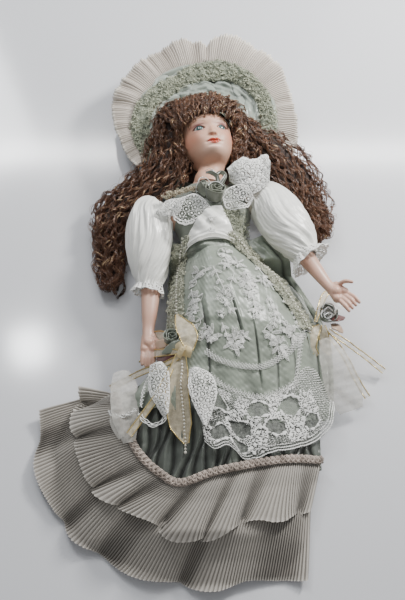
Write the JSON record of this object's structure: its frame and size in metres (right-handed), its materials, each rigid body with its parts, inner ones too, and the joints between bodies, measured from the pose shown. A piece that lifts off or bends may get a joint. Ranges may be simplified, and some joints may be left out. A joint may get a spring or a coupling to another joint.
{
  "type": "dressed porcelain doll",
  "caption": "Porcelain doll in a tiered sage gown and picture hat, lying on its back, with a swivel head and jointed arms and legs.",
  "frame": {"origin": "point on the flat back panel of the skirt, below the hips, in the surface the doll lies on", "axes": "+Z out of the doll's chest (up as it lies), +Y towards its head, +X towards its own left"},
  "size_m": [0.2892, 0.534, 0.0771],
  "materials": {
    "porcelain": "matte bisque porcelain, painted features",
    "porcelain_limb": "matte bisque porcelain",
    "eye_glass": "glossy",
    "metal": "plated",
    "hair": "curled synthetic fibre, satin",
    "hat_felt": "satin lined",
    "sage_satin": "satin",
    "sage_cloth": "textured matte",
    "sage_braid": "woven gimp braid",
    "cream_frill": "pleated chiffon",
    "cream_satin": "jacquard satin",
    "white_lace": "lace",
    "beige_braid": "looped gimp braid",
    "calico": "plain woven cotton over polyester stuffing",
    "shoe_white": "glossy",
    "gold_organza": "sheer with metallic edge",
    "pearl": "pearlescent"
  },
  "bodies": {
    "torso": {"shoulder_plate": "porcelain", "neck_bolt": "metal", "neck_nut": "metal", "neck_washer": "metal", "right_long_curls": "hair", "left_long_curls": "hair", "torso": "calico", "bodice": "sage_cloth", "bodice_snaps": "metal", "waist_sash": "cream_satin", "lace_collar": "white_lace", "standing_collar": "white_lace", "neck_rose": "sage_satin", "skirt_back_panel": "cream_frill", "petticoat_frill": "cream_frill", "underskirt": "sage_satin", "upper_frill": "cream_frill", "frill_braid": "beige_braid", "overskirt_front": "sage_cloth", "overskirt_left_side": "sage_cloth", "overskirt_right_side": "sage_cloth", "right_braid_band": "sage_braid", "left_braid_band": "sage_braid", "lace_flounce": "white_lace", "side_lace_petals": "white_lace", "right_bow": "gold_organza", "left_bow": "gold_organza", "right_satin_rose": "sage_satin", "left_satin_rose": "sage_satin", "right_organza_tail": "gold_organza", "left_organza_tail": "gold_organza", "pearl_string": "pearl"},
    "head": {"head": "porcelain", "right_eye": "eye_glass", "left_eye": "eye_glass", "wig_cap": "hair", "fringe": "hair", "right_side_curls": "hair", "left_side_curls": "hair", "hat_crown": "hat_felt", "hat_brim": "hat_felt", "hat_braid": "sage_braid", "hat_frill": "cream_frill"},
    "right_arm": {"right_upper_arm": "calico", "right_sleeve": "cream_satin", "right_cuff_band": "white_lace", "right_cuff_lace": "white_lace"},
    "left_arm": {"left_upper_arm": "calico", "left_sleeve": "cream_satin", "left_cuff_band": "white_lace", "left_cuff_lace": "white_lace"},
    "right_hand": {"right_forearm": "porcelain_limb"},
    "left_hand": {"left_forearm": "porcelain_limb"},
    "right_leg": {"right_thigh": "calico", "right_lower_leg": "porcelain_limb", "right_shoe": "shoe_white"},
    "left_leg": {"left_thigh": "calico", "left_lower_leg": "porcelain_limb", "left_shoe": "shoe_white"}
  },
  "joints": [
    {"name": "neck_turn", "type": "hinge", "parent": "torso", "child": "head", "pos_m": [0.005, 0.099, 0.042], "axis": [0, 1, 0], "range_deg": [-15, 15]},
    {"name": "right_shoulder_raise", "type": "hinge", "parent": "torso", "child": "right_arm", "pos_m": [-0.034, 0.072, 0.034], "axis": [-1, 0, 0], "range_deg": [0, 80]},
    {"name": "left_shoulder_raise", "type": "hinge", "parent": "torso", "child": "left_arm", "pos_m": [0.045, 0.08, 0.037], "axis": [-1, 0, 0], "range_deg": [0, 80]},
    {"name": "right_elbow_bend", "type": "hinge", "parent": "right_arm", "child": "right_hand", "pos_m": [-0.046, 0.004, 0.03], "axis": [-0.9998, 0.0208, 0], "range_deg": [0, 25]},
    {"name": "left_elbow_bend", "type": "hinge", "parent": "left_arm", "child": "left_hand", "pos_m": [0.088, 0.029, 0.039], "axis": [-0.8575, -0.5145, 0], "range_deg": [0, 25]},
    {"name": "right_hip_swing", "type": "hinge", "parent": "torso", "child": "right_leg", "pos_m": [-0.01, -0.04, 0.019], "axis": [0, 0, 1], "range_deg": [-3, 3]},
    {"name": "left_hip_swing", "type": "hinge", "parent": "torso", "child": "left_leg", "pos_m": [0.026, -0.04, 0.019], "axis": [0, 0, 1], "range_deg": [-3, 3]}
  ]
}
